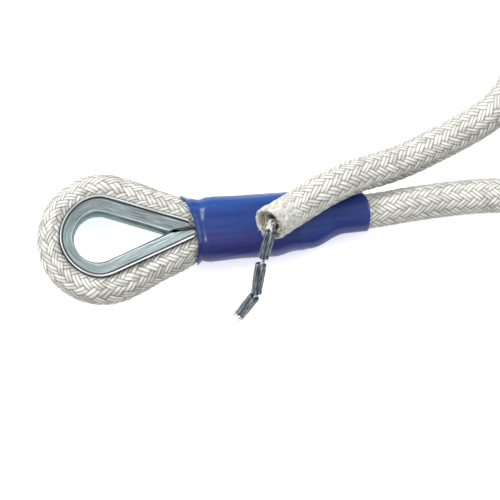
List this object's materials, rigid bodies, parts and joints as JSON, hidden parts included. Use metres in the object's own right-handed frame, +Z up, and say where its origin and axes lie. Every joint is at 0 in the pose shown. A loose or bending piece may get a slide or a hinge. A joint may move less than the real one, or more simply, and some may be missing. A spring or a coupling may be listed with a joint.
{
  "type": "rope thimble eye",
  "caption": "Rope end eye on a pressed steel thimble, seized and covered by a blue shrink sleeve, with the cut end of the lead-core rope lying on it.",
  "frame": {"origin": "on the surface that the eye lies on, under the middle of the eye and sleeve together", "axes": "+X from the eye to the sleeve, along the rope; +Z up from the surface that it lies on"},
  "size_m": [0.3664, 0.1726, 0.0351],
  "materials": {
    "white_rope": "braided polyester, matte with a slight sheen",
    "inner_braid": "fluffy cut fibre",
    "galvanised_steel": "galvanised, drawn streaks",
    "blue_shrink_sleeve": "satin heat-shrink",
    "lead": "dull lead, crimped and scuffed",
    "white_string": "crumpled string",
    "seizing_twine": "waxed twine",
    "black_strap": "hook-and-loop strap"
  },
  "bodies": {
    "root": {"thimble": "galvanised_steel", "eye_rope": "white_rope", "throat_seizing": "seizing_twine", "tail_whipping": "seizing_twine", "shrink_sleeve": "blue_shrink_sleeve", "standing_rope": "white_rope", "rope_coil": "white_rope", "tail_rope": "white_rope", "coil_tie_1": "black_strap", "coil_tie_2": "black_strap", "cut_end_cover": "white_rope", "cut_end_core": "inner_braid", "lead_link_4": "lead", "lead_link_5": "lead", "string_mouth": "white_string", "string_4_5": "white_string"},
    "link_1": {"lead_link_1": "lead", "string_1_2": "white_string"},
    "link_2": {"lead_link_2": "lead", "string_2_3": "white_string"},
    "link_3": {"lead_link_3": "lead", "string_tip": "white_string"}
  },
  "joints": [
    {"name": "link_1_swing", "type": "hinge", "parent": "root", "child": "link_1", "pos_m": [0.0268, -0.0055, 0.0305], "axis": [0, 0, 1], "range_deg": [-15, 15]},
    {"name": "link_2_swing", "type": "hinge", "parent": "link_1", "child": "link_2", "pos_m": [0.02233, -0.01585, 0.0213], "axis": [0, 0, 1], "range_deg": [-15, 15]},
    {"name": "link_3_swing", "type": "hinge", "parent": "link_2", "child": "link_3", "pos_m": [0.01878, -0.02792, 0.0131], "axis": [0, 0, 1], "range_deg": [-11, 15]}
  ]
}
